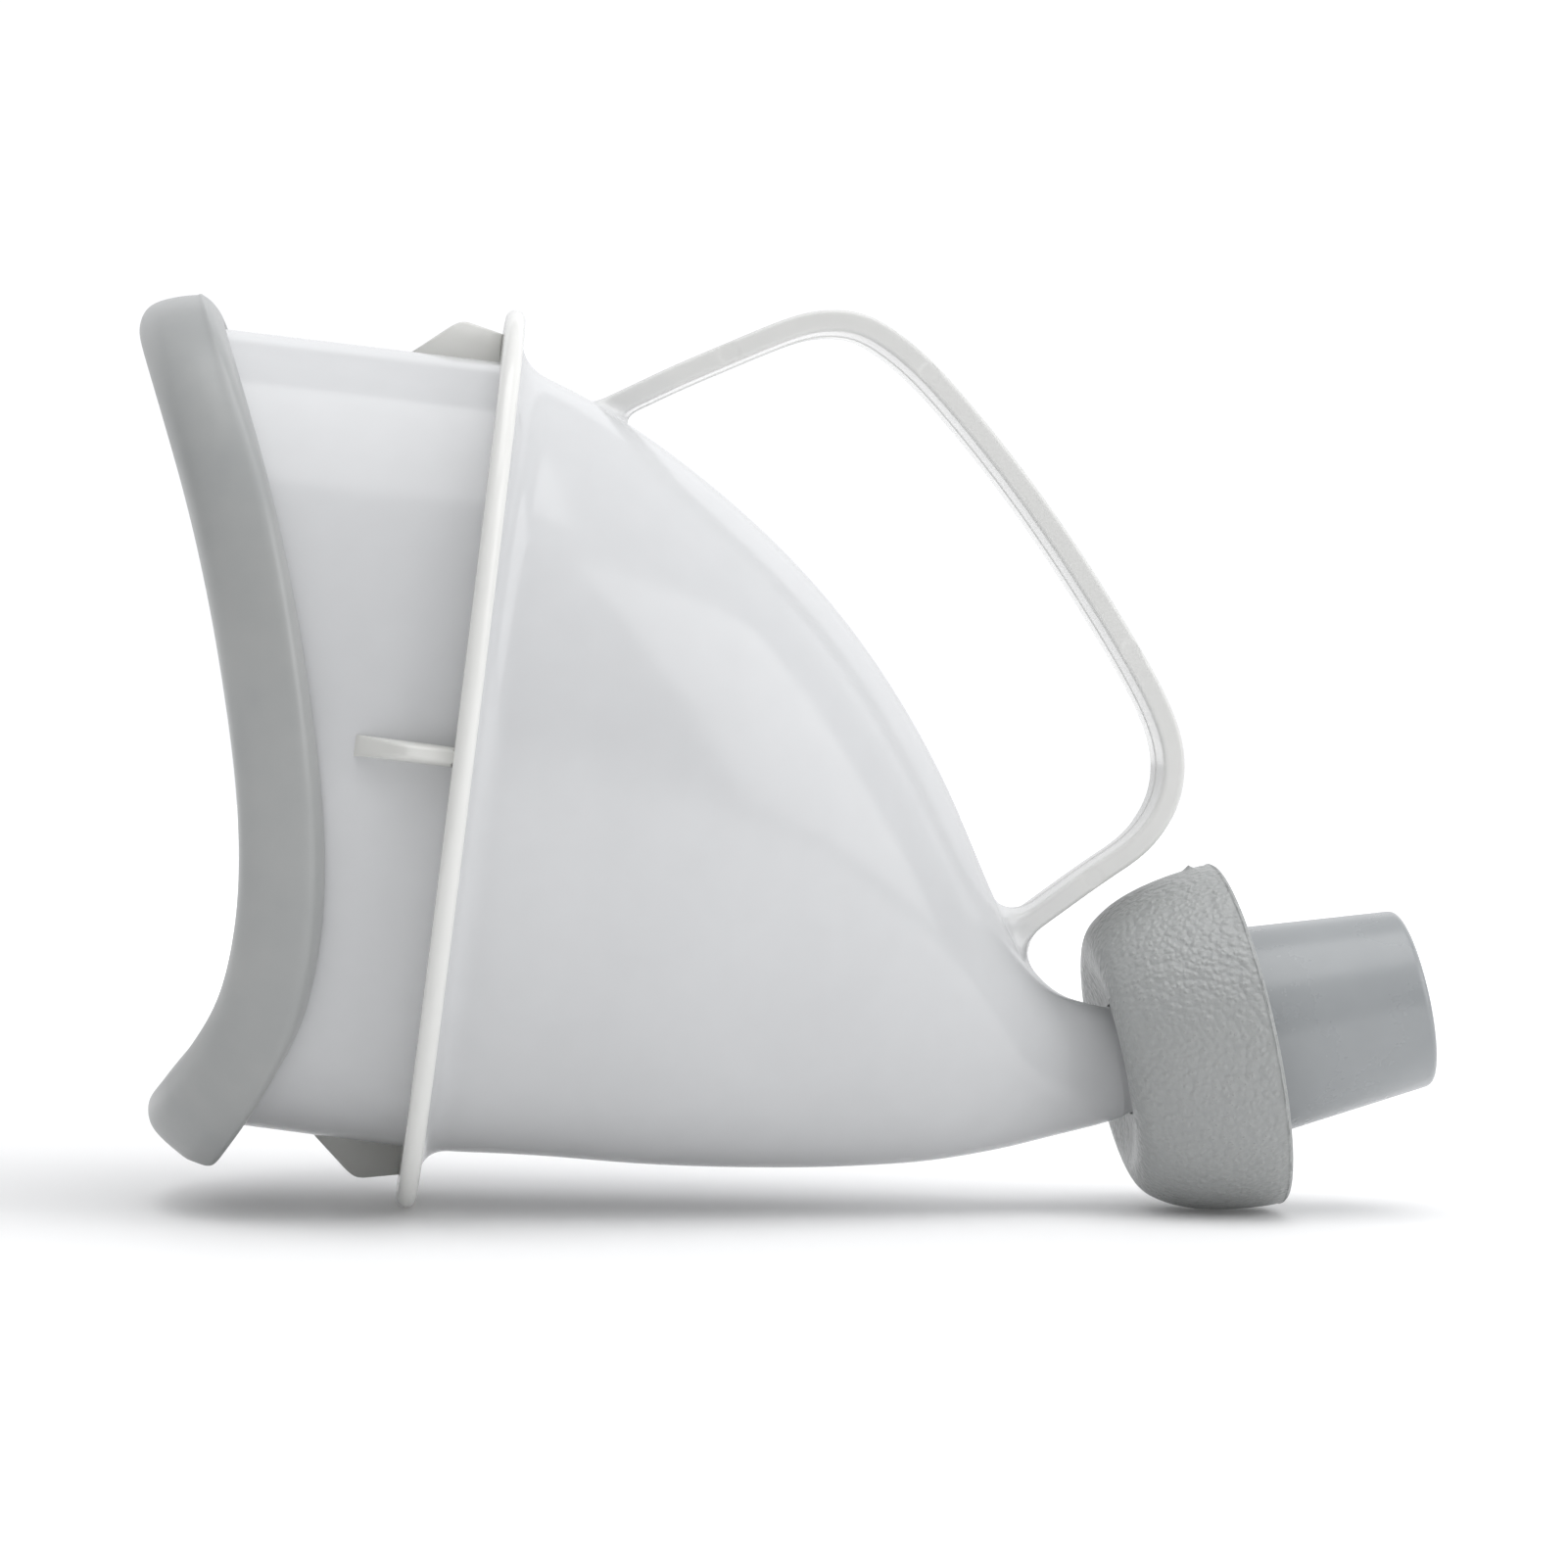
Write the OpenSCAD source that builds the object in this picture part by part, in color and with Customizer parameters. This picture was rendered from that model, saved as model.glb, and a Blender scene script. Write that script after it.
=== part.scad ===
// Hand-held urinal funnel: moulded polypropylene funnel with a loop handle and a
// standing flange, a soft rim on the mouth, and a push-on adaptor for bottle necks.
// Millimetres. +Z is up, +X runs from the mouth to the outlet, Y is across.
// It stands on the lower edge of the flange and on the collar, with Z = 0 there.

/* [Funnel mouth] */
// Half of the height of the funnel at the flange, outside
body_half_h = 45.1; // [44:0.1:46]
// Half of the width of the funnel at the flange, outside
body_half_w = 37; // [34:0.5:40]
// Wall thickness of the funnel
wall = 1.8; // [1.4:0.1:2]
// Lean of the mouth and the flange from upright, degrees
mouth_tilt = 6.1; // [5:0.1:7]

/* [Flange and gussets] */
// Thickness of the flange ring
flange_t = 2.2; // [1.8:0.1:2.6]
// How far the flange stands out above and below the funnel
flange_out_h = 6.4; // [5.5:0.1:7]
// How far the flange stands out at the sides
flange_out_w = 6; // [5.5:0.1:7]
// Thickness of a gusset at its root
gusset_root_t = 2.3; // [1.8:0.1:3]
// Thickness of a gusset at its free edge
gusset_edge_t = 1.4; // [1:0.1:1.7]

/* [Soft rim] */
// Depth of the rim, from its front edge to its back edge
rim_depth = 9.3; // [8.5:0.1:10]
// Clearance between the rim's channel and the funnel's lip
rim_gap = 0.12; // [0.1:0.01:0.2]

/* [Handle] */
// Width of the handle strap across the hand
handle_w = 10; // [8:0.5:11]
// Thickness of the handle strap
handle_t = 2.5; // [2.2:0.1:3]

/* [Neck] */
// Outside radius of the neck inside the adaptor
neck_r = 6.3; // [6.2:0.05:6.3]
// Bore radius of the neck
neck_bore_r = 4.8; // [4.2:0.1:5]
// Rise of the neck's axis toward the outlet, degrees
neck_tilt = 12.5; // [12:0.1:13]

/* [Bottle adaptor] */
// Largest outside radius of the collar
collar_r = 20.2; // [19.5:0.1:20.2]
// Radius of the spout at its tip
spout_tip_r = 10.4; // [10:0.05:11]
// Radius of the spout where it leaves the collar
spout_root_r = 12.35; // [12:0.05:12.6]
// Bore radius of the spout
spout_bore_r = 8.1; // [7:0.1:8.3]
// Distance from the collar's rim to the spout's tip
spout_len = 20.1; // [15:0.1:22]

/* [Hidden] */

pp_white = [0.86, 0.87, 0.88];
pp_warm = [0.90, 0.90, 0.88];
rim_grey = [0.60, 0.61, 0.61];
collar_grey = [0.62, 0.63, 0.62];
spout_grey = [0.58, 0.60, 0.61];

$fn = 96;
sides = 72;                    // points in each ring of the funnel's wall
mouth_n = 2.6;                 // squareness of the mouth's outline: 2 is an ellipse
mouth_x = -38;                 // centre of the flange
flange_h = body_half_h + flange_out_h;
flange_r = flange_t / 2;       // the outer edge is a full round
mouth_z = (flange_h - flange_r) * cos(mouth_tilt) + flange_r;
lip_draft = 0.4;               // the tube is this much slimmer at the lip
lip_back = 3.2;                // the lip stops this far behind the rim's front edge
root_r = 3;                    // fillet behind the flange
body_up = 0.35;                // the funnel sits this much above the flange's middle
rim_dip = 1.5;                 // extra flare of the rim at its lower end

neck_x = 38.6;                 // where the neck's axis enters the collar
neck_z = 17.3;
neck_start = -0.4;             // the hood ends and the neck begins, along the axis
neck_end = 9.6;
hood_end_r = neck_r + 0.3;
collar_back = -0.8;
collar_dish = 0.8;             // the back face is dished toward the neck
collar_web = 2.9;              // inner face of the collar's web
collar_rim = 16;
skirt_r = 17;                  // inside of the collar's skirt
disc_r = 14.5;                 // the spout's base disc, trapped inside the collar
disc_back = 3.1;
disc_front = 5;
sleeve_r = neck_r + 0.05;      // push fit of the spout on the neck
spout_tip = collar_rim + spout_len;

frame_x = -0.48;               // puts the origin under the middle of the whole part

// ---- helpers: outlines, frames, splines and lofts ----
module place() translate([frame_x, 0, 0]) children();

function power(v, e) = sign(v) * pow(abs(v), e);
function oval(w, h, n, count) = [for (i = [0 : count - 1])
    let (a = 360 * i / count) [w * power(cos(a), 2 / n), h * power(sin(a), 2 / n)]];

// a point of the mouth's own frame: x along its axis, z up the flange
function in_mouth(x, y, z) = [
    mouth_x + x * cos(mouth_tilt) + z * sin(mouth_tilt),
    y,
    mouth_z - x * sin(mouth_tilt) + z * cos(mouth_tilt)];

// a point of the neck's own frame: a along its axis, r upward from it
function on_neck(a, r) = [
    neck_x + a * cos(neck_tilt) - r * sin(neck_tilt),
    neck_z + a * sin(neck_tilt) + r * cos(neck_tilt)];

// smooth curve through rows of numbers, u from 0 to len - 1
function row(t, i) = t[max(0, min(len(t) - 1, i))];
function spline(t, u) =
    let (i = min(floor(u), len(t) - 2), f = u - i,
         a = row(t, i - 1), b = row(t, i), c = row(t, i + 1), d = row(t, i + 2))
    b + 0.5 * f * ((c - a) + f * ((2 * a - 5 * b + 4 * c - d) + f * (3 * (b - c) + d - a)));

// closed loop of rings, each with the same number of points
module loft_loop(rings) {
    k = len(rings);
    m = len(rings[0]);
    polyhedron(points = [for (r = rings) each r],
        faces = [for (i = [0 : k - 1]) for (j = [0 : m - 1])
            let (i2 = (i + 1) % k, j2 = (j + 1) % m)
            each [[i * m + j, i2 * m + j2, i * m + j2], [i * m + j, i2 * m + j, i2 * m + j2]]],
        convexity = 10);
}

// solid bar: rings with a cap at each end, of one flat face, or for a hollowed
// end of flat strips between the ring's two long sides
module loft_bar(rings, hollowed = false) {
    k = len(rings);
    m = len(rings[0]);
    cap = hollowed
        ? [for (j = [0 : m / 2 - 2]) [j, j + 1, m - 2 - j, m - 1 - j]]
        : [[for (j = [0 : m - 1]) j]];
    polyhedron(points = [for (r = rings) each r],
        faces = concat(
            cap,
            [for (i = [0 : k - 2]) for (j = [0 : m - 1])
                let (j2 = (j + 1) % m)
                each [[i * m + j, (i + 1) * m + j2, i * m + j2],
                      [i * m + j, (i + 1) * m + j, (i + 1) * m + j2]]],
            [for (c = cap) [for (j = [len(c) - 1 : -1 : 0]) (k - 1) * m + c[j]]]),
        convexity = 10);
}

// ---- the mouth: its front edge is curved in side view ----
// height in the mouth's frame, then the place of the rim's front edge
front_edge = [[-52, -33.8], [-44, -29.9], [-38, -26.3], [-30, -22.9], [-20, -22], [-10, -23],
              [0, -25.2], [12, -28.6], [24, -32.8], [36, -37.9], [44, -41.6], [52, -45.3]];
function edge_span(z, i = 0) =
    i >= len(front_edge) - 2 || z < front_edge[i + 1][0] ? i : edge_span(z, i + 1);
function edge_slope(i) = let (a = row(front_edge, i - 1), b = row(front_edge, i + 1))
    (b[1] - a[1]) / (b[0] - a[0]);
function front_x(z) =
    let (i = edge_span(z), a = front_edge[i], b = front_edge[i + 1], s = b[0] - a[0],
         f = (z - a[0]) / s)
    a[1] * (1 + 2 * f) * (1 - f) * (1 - f) + b[1] * f * f * (3 - 2 * f)
    + s * (edge_slope(i) * f * (1 - f) * (1 - f) + edge_slope(i + 1) * f * f * (f - 1));

tube_back = -flange_t / 2;
lip_oval = oval(body_half_w - lip_draft, body_half_h - lip_draft, mouth_n, sides);

// ring of the funnel's mouth at share f from the lip to the flange, moved out by off
function tube_ring(f, off) =
    let (d = lip_draft * (1 - f),
         o = oval(body_half_w - d + off, body_half_h - d + off, mouth_n, sides))
    [for (i = [0 : sides - 1]) let (x0 = front_x(lip_oval[i][1]) + lip_back)
        in_mouth(x0 + (tube_back - x0) * f, o[i][0], o[i][1] + body_up)];

// ring of the soft rim, q behind its front edge and off outside the funnel's lip
function rim_ring(q, off) =
    let (o = oval(body_half_w - lip_draft + off, body_half_h - lip_draft + off, mouth_n, sides))
    [for (i = [0 : sides - 1])
        let (low = max(0, -lip_oval[i][1] / body_half_h - 0.7) / 0.3,
             flare = off > 0.5 ? rim_dip * low * min(1, q / 5) * off / 3.6 : 0)
        in_mouth(front_x(lip_oval[i][1]) + q, o[i][0], o[i][1] + body_up - flare)];

module mouth_tube() color(pp_white)
    loft_loop([
        tube_ring(0, -0.4), tube_ring(0.02, 0), tube_ring(0.3, 0), tube_ring(0.6, 0),
        tube_ring(1, 0), tube_ring(1, -wall), tube_ring(0.6, -wall), tube_ring(0.3, -wall),
        tube_ring(0.02, -wall), tube_ring(0, 0.4 - wall)]);

// section of the rim: [distance behind the front edge, distance outside the lip]
rim_section = [
    [0, -1], [0.2, 0.5], [0.9, 1.6], [2.2, 2.4], [4.2, 3], [6.4, 3.5], [rim_depth - 1, 3.6],
    [rim_depth - 0.2, 3], [rim_depth, 2.2], [rim_depth - 0.3, 1.6], [6.8, 1], [6, rim_gap],
    [lip_back - 0.25, rim_gap], [lip_back - 0.25, -wall - rim_gap],
    [rim_depth - 1, -wall - rim_gap], [rim_depth - 0.4, -wall - 0.7], [rim_depth - 0.8, -wall - 1.4],
    [2.4, -wall - 1.7], [1, -wall - 1.2], [0.2, -wall - 0.3]];

module mouth_rim() color(rim_grey)
    loft_loop([for (s = rim_section) rim_ring(s[0], s[1])]);

// ---- standing flange and its four gussets ----
// ring of the flange at x, standing out by the share f of its full height
function flange_ring_at(x, f, less = 0) =
    let (w = body_half_w + flange_out_w * f - less, h = body_half_h + flange_out_h * f - less)
    [for (p = oval(w, h, mouth_n, sides)) in_mouth(x, p[0], p[1] + body_up * (1 - f))];

module flange_ring() color(pp_warm)
    loft_loop(concat(
        [flange_ring_at(-flange_t / 2, 0, wall), flange_ring_at(-flange_t / 2, 0)],
        [for (a = [0 : 30 : 180]) flange_ring_at(-flange_r * cos(a), 1, flange_r * (1 - sin(a)))],
        [flange_ring_at(flange_t / 2, 0.47), flange_ring_at(flange_t / 2, 0, wall)]));

gusset_len = 10.4;             // along the funnel, from the flange
gusset_knee = 5;               // where the sloping edge ends
gusset_h = 4.6;                // height at the knee
gusset_end_h = 3.6;            // height at the flange
seat = 0.03;                   // clearance under the gusset
// half is half of the funnel's size on that side; turn goes round the
// mouth's axis, and lift moves it off with the funnel
module gusset(half, turn, lift) {
    x0 = -flange_t / 2;
    s = lip_draft * gusset_len / 28;
    outline = [[x0, 0], [x0 - gusset_len, -s], [x0 - gusset_knee - 0.6, gusset_h - 0.5],
               [x0 - gusset_knee + 0.4, gusset_h], [x0, gusset_end_h]];
    // half thickness: drafted from the root to the free edge
    function side(z) = gusset_root_t / 2 - (gusset_root_t - gusset_edge_t) / 2 * z / gusset_h;
    translate([mouth_x, 0, mouth_z]) rotate([0, mouth_tilt, 0]) rotate([turn, 0, 0])
        translate([0, 0, half + seat + lift])
            loft_bar([[for (p = outline) [p[0], -side(p[1]), p[1]]],
                      [for (p = outline) [p[0], side(p[1]), p[1]]]]);
}
module gusset_top() color(pp_warm) gusset(body_half_h, 0, body_up);
module gusset_bottom() color(pp_warm) gusset(body_half_h, 180, -body_up);
module gusset_right() color(pp_warm) gusset(body_half_w, 90, 0);
module gusset_left() color(pp_warm) gusset(body_half_w, -90, 0);

// ---- hood: from the flange down to the neck ----
// rows: top x, top z, bottom x, bottom z, half width, squareness
hood_top0 = in_mouth(flange_t / 2, 0, body_half_h + body_up);
hood_low0 = in_mouth(flange_t / 2, 0, body_up - body_half_h);
hood_top1 = on_neck(neck_start, hood_end_r);
hood_low1 = on_neck(neck_start, -hood_end_r);
width_k = body_half_w / 37;
hood_rows = [
    [hood_top0[0], hood_top0[2], hood_low0[0], hood_low0[2], body_half_w, mouth_n],
    [-29, 94.9, -38.7, 6.3, 36.8 * width_k, 2.58],
    [-23.9, 92.5, -33.5, 6.15, 36.2 * width_k, 2.54],
    [-16.5, 88, -26.5, 5.8, 34.9 * width_k, 2.5],
    [-8, 81.7, -18.5, 5.1, 32.8 * width_k, 2.46],
    [-0.4, 74.9, -10.5, 4.75, 30.2 * width_k, 2.42],
    [6, 67.9, -3, 4.65, 27.3 * width_k, 2.38],
    [11.3, 60.7, 4, 4.7, 24.3 * width_k, 2.34],
    [15.5, 53.9, 10.3, 5, 21.4 * width_k, 2.3],
    [19, 47.2, 16, 5.4, 18.4 * width_k, 2.26],
    [22, 40.4, 21.3, 6.2, 15.4 * width_k, 2.22],
    [25, 34, 26.4, 7.2, 12.6 * width_k, 2.16],
    [28.2, 28.4, 31, 8.4, 10 * width_k, 2.1],
    [31.6, 25.2, 34.7, 9.3, 8.2, 2.05],
    [34.4, 24.2, 37.4, 10, 7.1, 2],
    [hood_top1[0], hood_top1[1], hood_low1[0], hood_low1[1], hood_end_r, 2]];

// section of the hood at row u, moved out by off
function hood_ring(u, off) =
    let (s = spline(hood_rows, u), top = [s[0], 0, s[1]], low = [s[2], 0, s[3]],
         mid = (top + low) / 2, up = (top - low) / norm(top - low), h = norm(top - low) / 2)
    [for (p = oval(s[4] + off, h + off, s[5], sides)) mid + [0, p[0], 0] + p[1] * up];

fillet_steps = [0, 0.1, 0.27, 0.53, 1];   // share of the fillet's reach, which ends at row 1
function fillet_off(f) = root_r - sqrt(root_r * root_r - root_r * root_r * (1 - f) * (1 - f));
hood_last = len(hood_rows) - 1;

module funnel_hood() color(pp_white)
    loft_loop(concat(
        [for (f = fillet_steps) hood_ring(f, fillet_off(f))],
        [for (u = [1.5 : 0.5 : hood_last]) hood_ring(u, 0)],
        [for (u = [hood_last : -0.5 : hood_last - 2]) hood_ring(u, neck_bore_r - hood_end_r)],
        [for (u = [hood_last - 3 : -1 : 0]) hood_ring(u, -wall)]));

// ---- neck: a true tube on its own axis ----
module along_neck() translate([neck_x, 0, neck_z]) rotate([0, 90 - neck_tilt, 0]) children();

module outlet_neck() color(pp_white) along_neck()
    rotate_extrude() polygon([
        [neck_bore_r, neck_start], [hood_end_r, neck_start], [neck_r, neck_start + 0.4],
        [neck_r, neck_end - 0.5], [neck_r - 0.4, neck_end], [neck_bore_r, neck_end]]);

// ---- handle: a flat strap with a soft round section ----
// middle line of the strap: x, z
handle_line = [[-21.85, 91.3], [-15.4, 94.8], [-8, 98.2], [-1.5, 101.05], [1.8, 102.1],
    [5.2, 102.3], [8.4, 101.5], [13.2, 98.2], [18.1, 93.3], [25.1, 85], [32.1, 75.5],
    [39.2, 64.6], [43, 57.6], [44.4, 52.6], [43.8, 47.6], [40.8, 42.9], [36, 39.4],
    [31, 35.7], [26.45, 31.85]];
function line_dir(u) = let (e = 0.05, d = spline(handle_line, min(u + e, len(handle_line) - 1.001))
    - spline(handle_line, max(u - e, 0))) d / norm(d);
strap_a = handle_w / 2;
strap_b = handle_t / 2;
strap_c = strap_b - 0.35;
strap_side = [[-strap_a, strap_c], [-strap_a + 0.7, strap_b - 0.15], [-strap_a * 0.44, strap_b],
              [0, strap_b], [strap_a * 0.44, strap_b], [strap_a - 0.7, strap_b - 0.15],
              [strap_a, strap_c]];
strap = concat([for (p = strap_side) [p[0], -p[1]]], [for (p = strap_side) [-p[0], p[1]]]);
// the ends are cut to sit on the hood: sit moves the end along the strap, lean is the
// slope of the hood against the strap, and dip hollows it to the hood's roundness
function handle_ring(u, sit = 0, lean = 0, dip = 0) =
    let (c = spline(handle_line, u), d = line_dir(u))
    [for (p = strap) let (m = sit + lean * p[1] + dip * p[0] * p[0])
        [c[0] + d[1] * -p[1] + d[0] * m, p[0], c[1] + d[0] * p[1] + d[1] * m]];
handle_last = len(handle_line) - 1;

module handle_loop() color(pp_warm)
    loft_bar(concat(
        [handle_ring(0, 0.03, -0.611, -0.005)],
        [for (u = [0.5 : 0.5 : handle_last - 0.5]) handle_ring(u)],
        [handle_ring(handle_last, 0.255, 0.214, 0.016)]), hollowed = true);

// ---- bottle adaptor: textured collar round a tapered spout ----
module bottle_collar() color(collar_grey) along_neck()
    rotate_extrude() polygon([
        [neck_r + 0.2, collar_dish], [8, collar_dish], [12.6, collar_back], [14.5, -0.4],
        [15.8, 0.4], [16.9, 1.6], [17.7, 3], [18.3, 4.5], [collar_r - 1.1, 6.5],
        [collar_r - 0.6, 9], [collar_r - 0.2, 11.4], [collar_r, 14.2], [collar_r, 15.2],
        [collar_r - 0.35, 15.8], [collar_r - 0.8, collar_rim],
        [18.2, collar_rim], [skirt_r, 14.5], [skirt_r, 7], [skirt_r - 0.6, 6.4],
        [disc_r - 0.4, 6], [disc_r - 0.4, disc_front + 0.2], [disc_r + 0.3, disc_front + 0.2],
        [disc_r + 0.3, collar_web], [neck_r + 0.2, collar_web]]);

module outlet_spout() color(spout_grey) along_neck()
    rotate_extrude() polygon([
        [sleeve_r, disc_back], [disc_r, disc_back], [disc_r, disc_front], [spout_root_r, disc_front],
        [spout_root_r, collar_rim], [spout_tip_r + 0.05, spout_tip - 0.7],
        [spout_tip_r - 0.3, spout_tip - 0.15], [spout_tip_r - 0.6, spout_tip],
        [spout_bore_r + 0.3, spout_tip], [spout_bore_r, spout_tip - 0.3], [spout_bore_r, 13.5],
        [neck_bore_r, 12], [neck_bore_r, neck_end + 0.2], [sleeve_r, neck_end + 0.2]]);

place() mouth_tube();
place() flange_ring();
place() gusset_top();
place() gusset_bottom();
place() gusset_right();
place() gusset_left();
place() funnel_hood();
place() outlet_neck();
place() handle_loop();
place() mouth_rim();
place() bottle_collar();
place() outlet_spout();
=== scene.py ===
import math

import bpy
import numpy as np
from mathutils import Matrix, Vector
from mathutils.bvhtree import BVHTree


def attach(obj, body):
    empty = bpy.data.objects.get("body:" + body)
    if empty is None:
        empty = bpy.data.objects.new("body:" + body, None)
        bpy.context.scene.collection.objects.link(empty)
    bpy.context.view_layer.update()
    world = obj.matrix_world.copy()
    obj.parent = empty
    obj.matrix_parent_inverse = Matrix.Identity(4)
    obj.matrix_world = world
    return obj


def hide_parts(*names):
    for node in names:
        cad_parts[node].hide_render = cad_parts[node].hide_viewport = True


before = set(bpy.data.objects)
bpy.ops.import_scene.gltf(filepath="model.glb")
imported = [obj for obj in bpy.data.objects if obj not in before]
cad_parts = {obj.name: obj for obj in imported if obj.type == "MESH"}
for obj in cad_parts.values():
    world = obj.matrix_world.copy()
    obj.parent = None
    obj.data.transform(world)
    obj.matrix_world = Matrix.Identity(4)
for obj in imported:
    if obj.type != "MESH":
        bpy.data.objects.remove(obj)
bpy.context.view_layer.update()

# ---- mouth tube ----
# The front of the funnel: an oval tube of glossy white polypropylene, part of the one
# injection moulding that makes the whole funnel. Its lip is curved in side view and
# stops inside the channel of the soft rim.
MM = 0.001
WALL = 1.8
TILT = math.radians(6.1)             # lean of the mouth and the flange from upright
FUNNEL_W, FUNNEL_H = 37.0, 45.1      # half sizes of the funnel at the flange
MOUTH = (-38.48, 0.0, 50.4 * math.cos(TILT) + 1.1)   # middle of the flange
BODY_UP = 0.35                       # the funnel sits this much above the flange's middle
FLANGE_HALF_T = 1.1
LIP_DRAFT = 0.4
LIP_BACK = 3.2                       # the lip stops this far behind the rim's front edge
SQUARENESS = 2.6                     # of the mouth's outline: 2 is an ellipse
FRONT_EDGE = [(-52, -33.8), (-44, -29.9), (-38, -26.3), (-30, -22.9), (-20, -22.0), (-10, -23.0),
              (0, -25.2), (12, -28.6), (24, -32.8), (36, -37.9), (44, -41.6), (52, -45.3)]


def soften(values, passes):
    """Evens out a dense row of values; both ends stay."""
    values = np.array(values, float)
    for _ in range(passes):
        values[1:-1] = (values[:-2] + 2 * values[1:-1] + values[2:]) / 4
    return values


def curve_through(points, per_span):
    """A dense smooth curve through a few points, as rows of numbers."""
    p = np.array(points, float)
    ends = np.vstack([p[:1], p, p[-1:]])
    f = np.linspace(0, 1, per_span, endpoint=False)[:, None]
    spans = []
    for a, b, c, d in zip(ends, ends[1:], ends[2:], ends[3:]):
        bend, twist = 2 * a - 5 * b + 4 * c - d, 3 * (b - c) + d - a
        spans.append(b + 0.5 * f * ((c - a) + f * (bend + f * twist)))
    return np.vstack(spans + [p[-1:]])


def even_turns(count):
    """Angles that space points evenly round the mouth's outline."""
    t = np.linspace(0, 2 * math.pi, 8001)
    y = FUNNEL_W * np.sign(np.cos(t)) * abs(np.cos(t)) ** (2 / SQUARENESS)
    z = FUNNEL_H * np.sign(np.sin(t)) * abs(np.sin(t)) ** (2 / SQUARENESS)
    run = np.concatenate([[0], np.cumsum(np.hypot(np.diff(y), np.diff(z)))])
    return np.interp(np.linspace(0, run[-1], count, endpoint=False), run, t)


TURNS = even_turns(288)


def oval(half_w, half_h, squareness=SQUARENESS):
    """Across and up values of a rounded outline, in the order of TURNS."""
    c, s = np.cos(TURNS), np.sin(TURNS)
    return (half_w * np.sign(c) * abs(c) ** (2 / squareness),
            half_h * np.sign(s) * abs(s) ** (2 / squareness))


def in_mouth(x, y, z):
    """Points of the mouth's own frame: x along its axis, y across, z up the flange."""
    x, y, z = np.broadcast_arrays(x, y, z)
    return np.stack([MOUTH[0] + x * math.cos(TILT) + z * math.sin(TILT), MOUTH[1] + y,
                     MOUTH[2] - x * math.sin(TILT) + z * math.cos(TILT)], -1)


edge = curve_through(FRONT_EDGE, 24)
edge = np.stack([soften(edge[:, 0], 60), soften(edge[:, 1], 60)], -1)


def front_x(z):
    """Place of the rim's front edge at a height of the mouth's frame."""
    return np.interp(z, edge[:, 0], edge[:, 1])


LIP_Y, LIP_Z = oval(FUNNEL_W - LIP_DRAFT, FUNNEL_H - LIP_DRAFT)


def tube_ring(along, off):
    """Ring of the mouth tube, from the lip at 0 to the flange at 1, moved out by off."""
    draft = LIP_DRAFT * (1 - along)
    y, z = oval(FUNNEL_W - draft + off, FUNNEL_H - draft + off)
    start = front_x(LIP_Z) + LIP_BACK
    return in_mouth(start + (-FLANGE_HALF_T - start) * along, y, z + BODY_UP)


def skin(name, rings, closed=True, sharp=38):
    """A smooth mesh through rings that have the same number of points each."""
    rings = np.array(rings, float) * MM
    k, m = rings.shape[:2]
    i, j = np.meshgrid(np.arange(k if closed else k - 1), np.arange(m), indexing="ij")
    i2, j2 = (i + 1) % k, (j + 1) % m
    quads = np.stack([i * m + j, i2 * m + j, i2 * m + j2, i * m + j2], -1).reshape(-1, 4)
    faces = quads.tolist()
    if not closed:
        faces += [list(range(m)), list(range(k * m - 1, (k - 1) * m - 1, -1))]
    mesh = bpy.data.meshes.new(name)
    mesh.from_pydata(rings.reshape(-1, 3).tolist(), [], faces)
    mesh.validate()
    volume = sum(p.center.dot(p.normal) * p.area for p in mesh.polygons)
    if volume < 0:
        mesh.flip_normals()
    mesh.shade_smooth()
    mesh.set_sharp_from_angle(angle=math.radians(sharp))
    piece = bpy.data.objects.new(name, mesh)
    bpy.context.scene.collection.objects.link(piece)
    return piece


def fit(piece, finish, body, slot, *nodes):
    """Gives a piece its finish, hangs it on the empty of the body it rides on and hides the CAD parts it
    stands for.
    """
    piece.data.materials.append(finish)
    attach(piece, body)
    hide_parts(*nodes)


class Wire:
    """A socket of a material; sums and products of wires and numbers add Math nodes."""

    def __init__(self, tree, socket=None):
        self.tree, self.socket = tree, socket

    def node(self, kind, settings=None, sockets=None, out=0):
        made = self.tree.nodes.new("ShaderNode" + kind)
        settings = dict(settings or {})
        stops = settings.pop("stops", None)
        for key, value in settings.items():
            setattr(made, key, value)
        if stops:
            ramp = made.color_ramp
            while len(ramp.elements) < len(stops):
                ramp.elements.new(0.5)
            for element, (place, value) in zip(ramp.elements, stops):
                element.position = place
                element.color = (value, value, value, 1)
        for key, value in (sockets or {}).items():
            if isinstance(value, Wire):
                self.tree.links.new(value.socket, made.inputs[key])
            else:
                made.inputs[key].default_value = value
        return Wire(self.tree, made.outputs[out])

    def math(self, operation, a, b):
        return self.node("Math", {"operation": operation}, {0: a, 1: b})

    def __add__(self, other):
        return self.math("ADD", self, other)

    def __rsub__(self, other):
        return self.math("SUBTRACT", other, self)

    def __mul__(self, other):
        return self.math("MULTIPLY", self, other)

    def noise(self, size_mm, detail=3.0, roughness=0.5):
        """Noise of about this grain size, in millimetres, at the wire's coordinates."""
        return self.node("TexNoise", {}, {"Vector": self, "Scale": 1 / (size_mm * MM), "Detail": detail,
                                          "Roughness": roughness})

    def ramp(self, *stops):
        return self.node("ValToRGB", {"stops": stops}, {"Fac": self})

    def mix(self, a, b):
        """The colour that this wire, from 0 to 1, gives between a and b."""
        return self.node("Mix", {"data_type": "RGBA"}, {0: self, 6: a, 7: b}, out=2)


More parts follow.
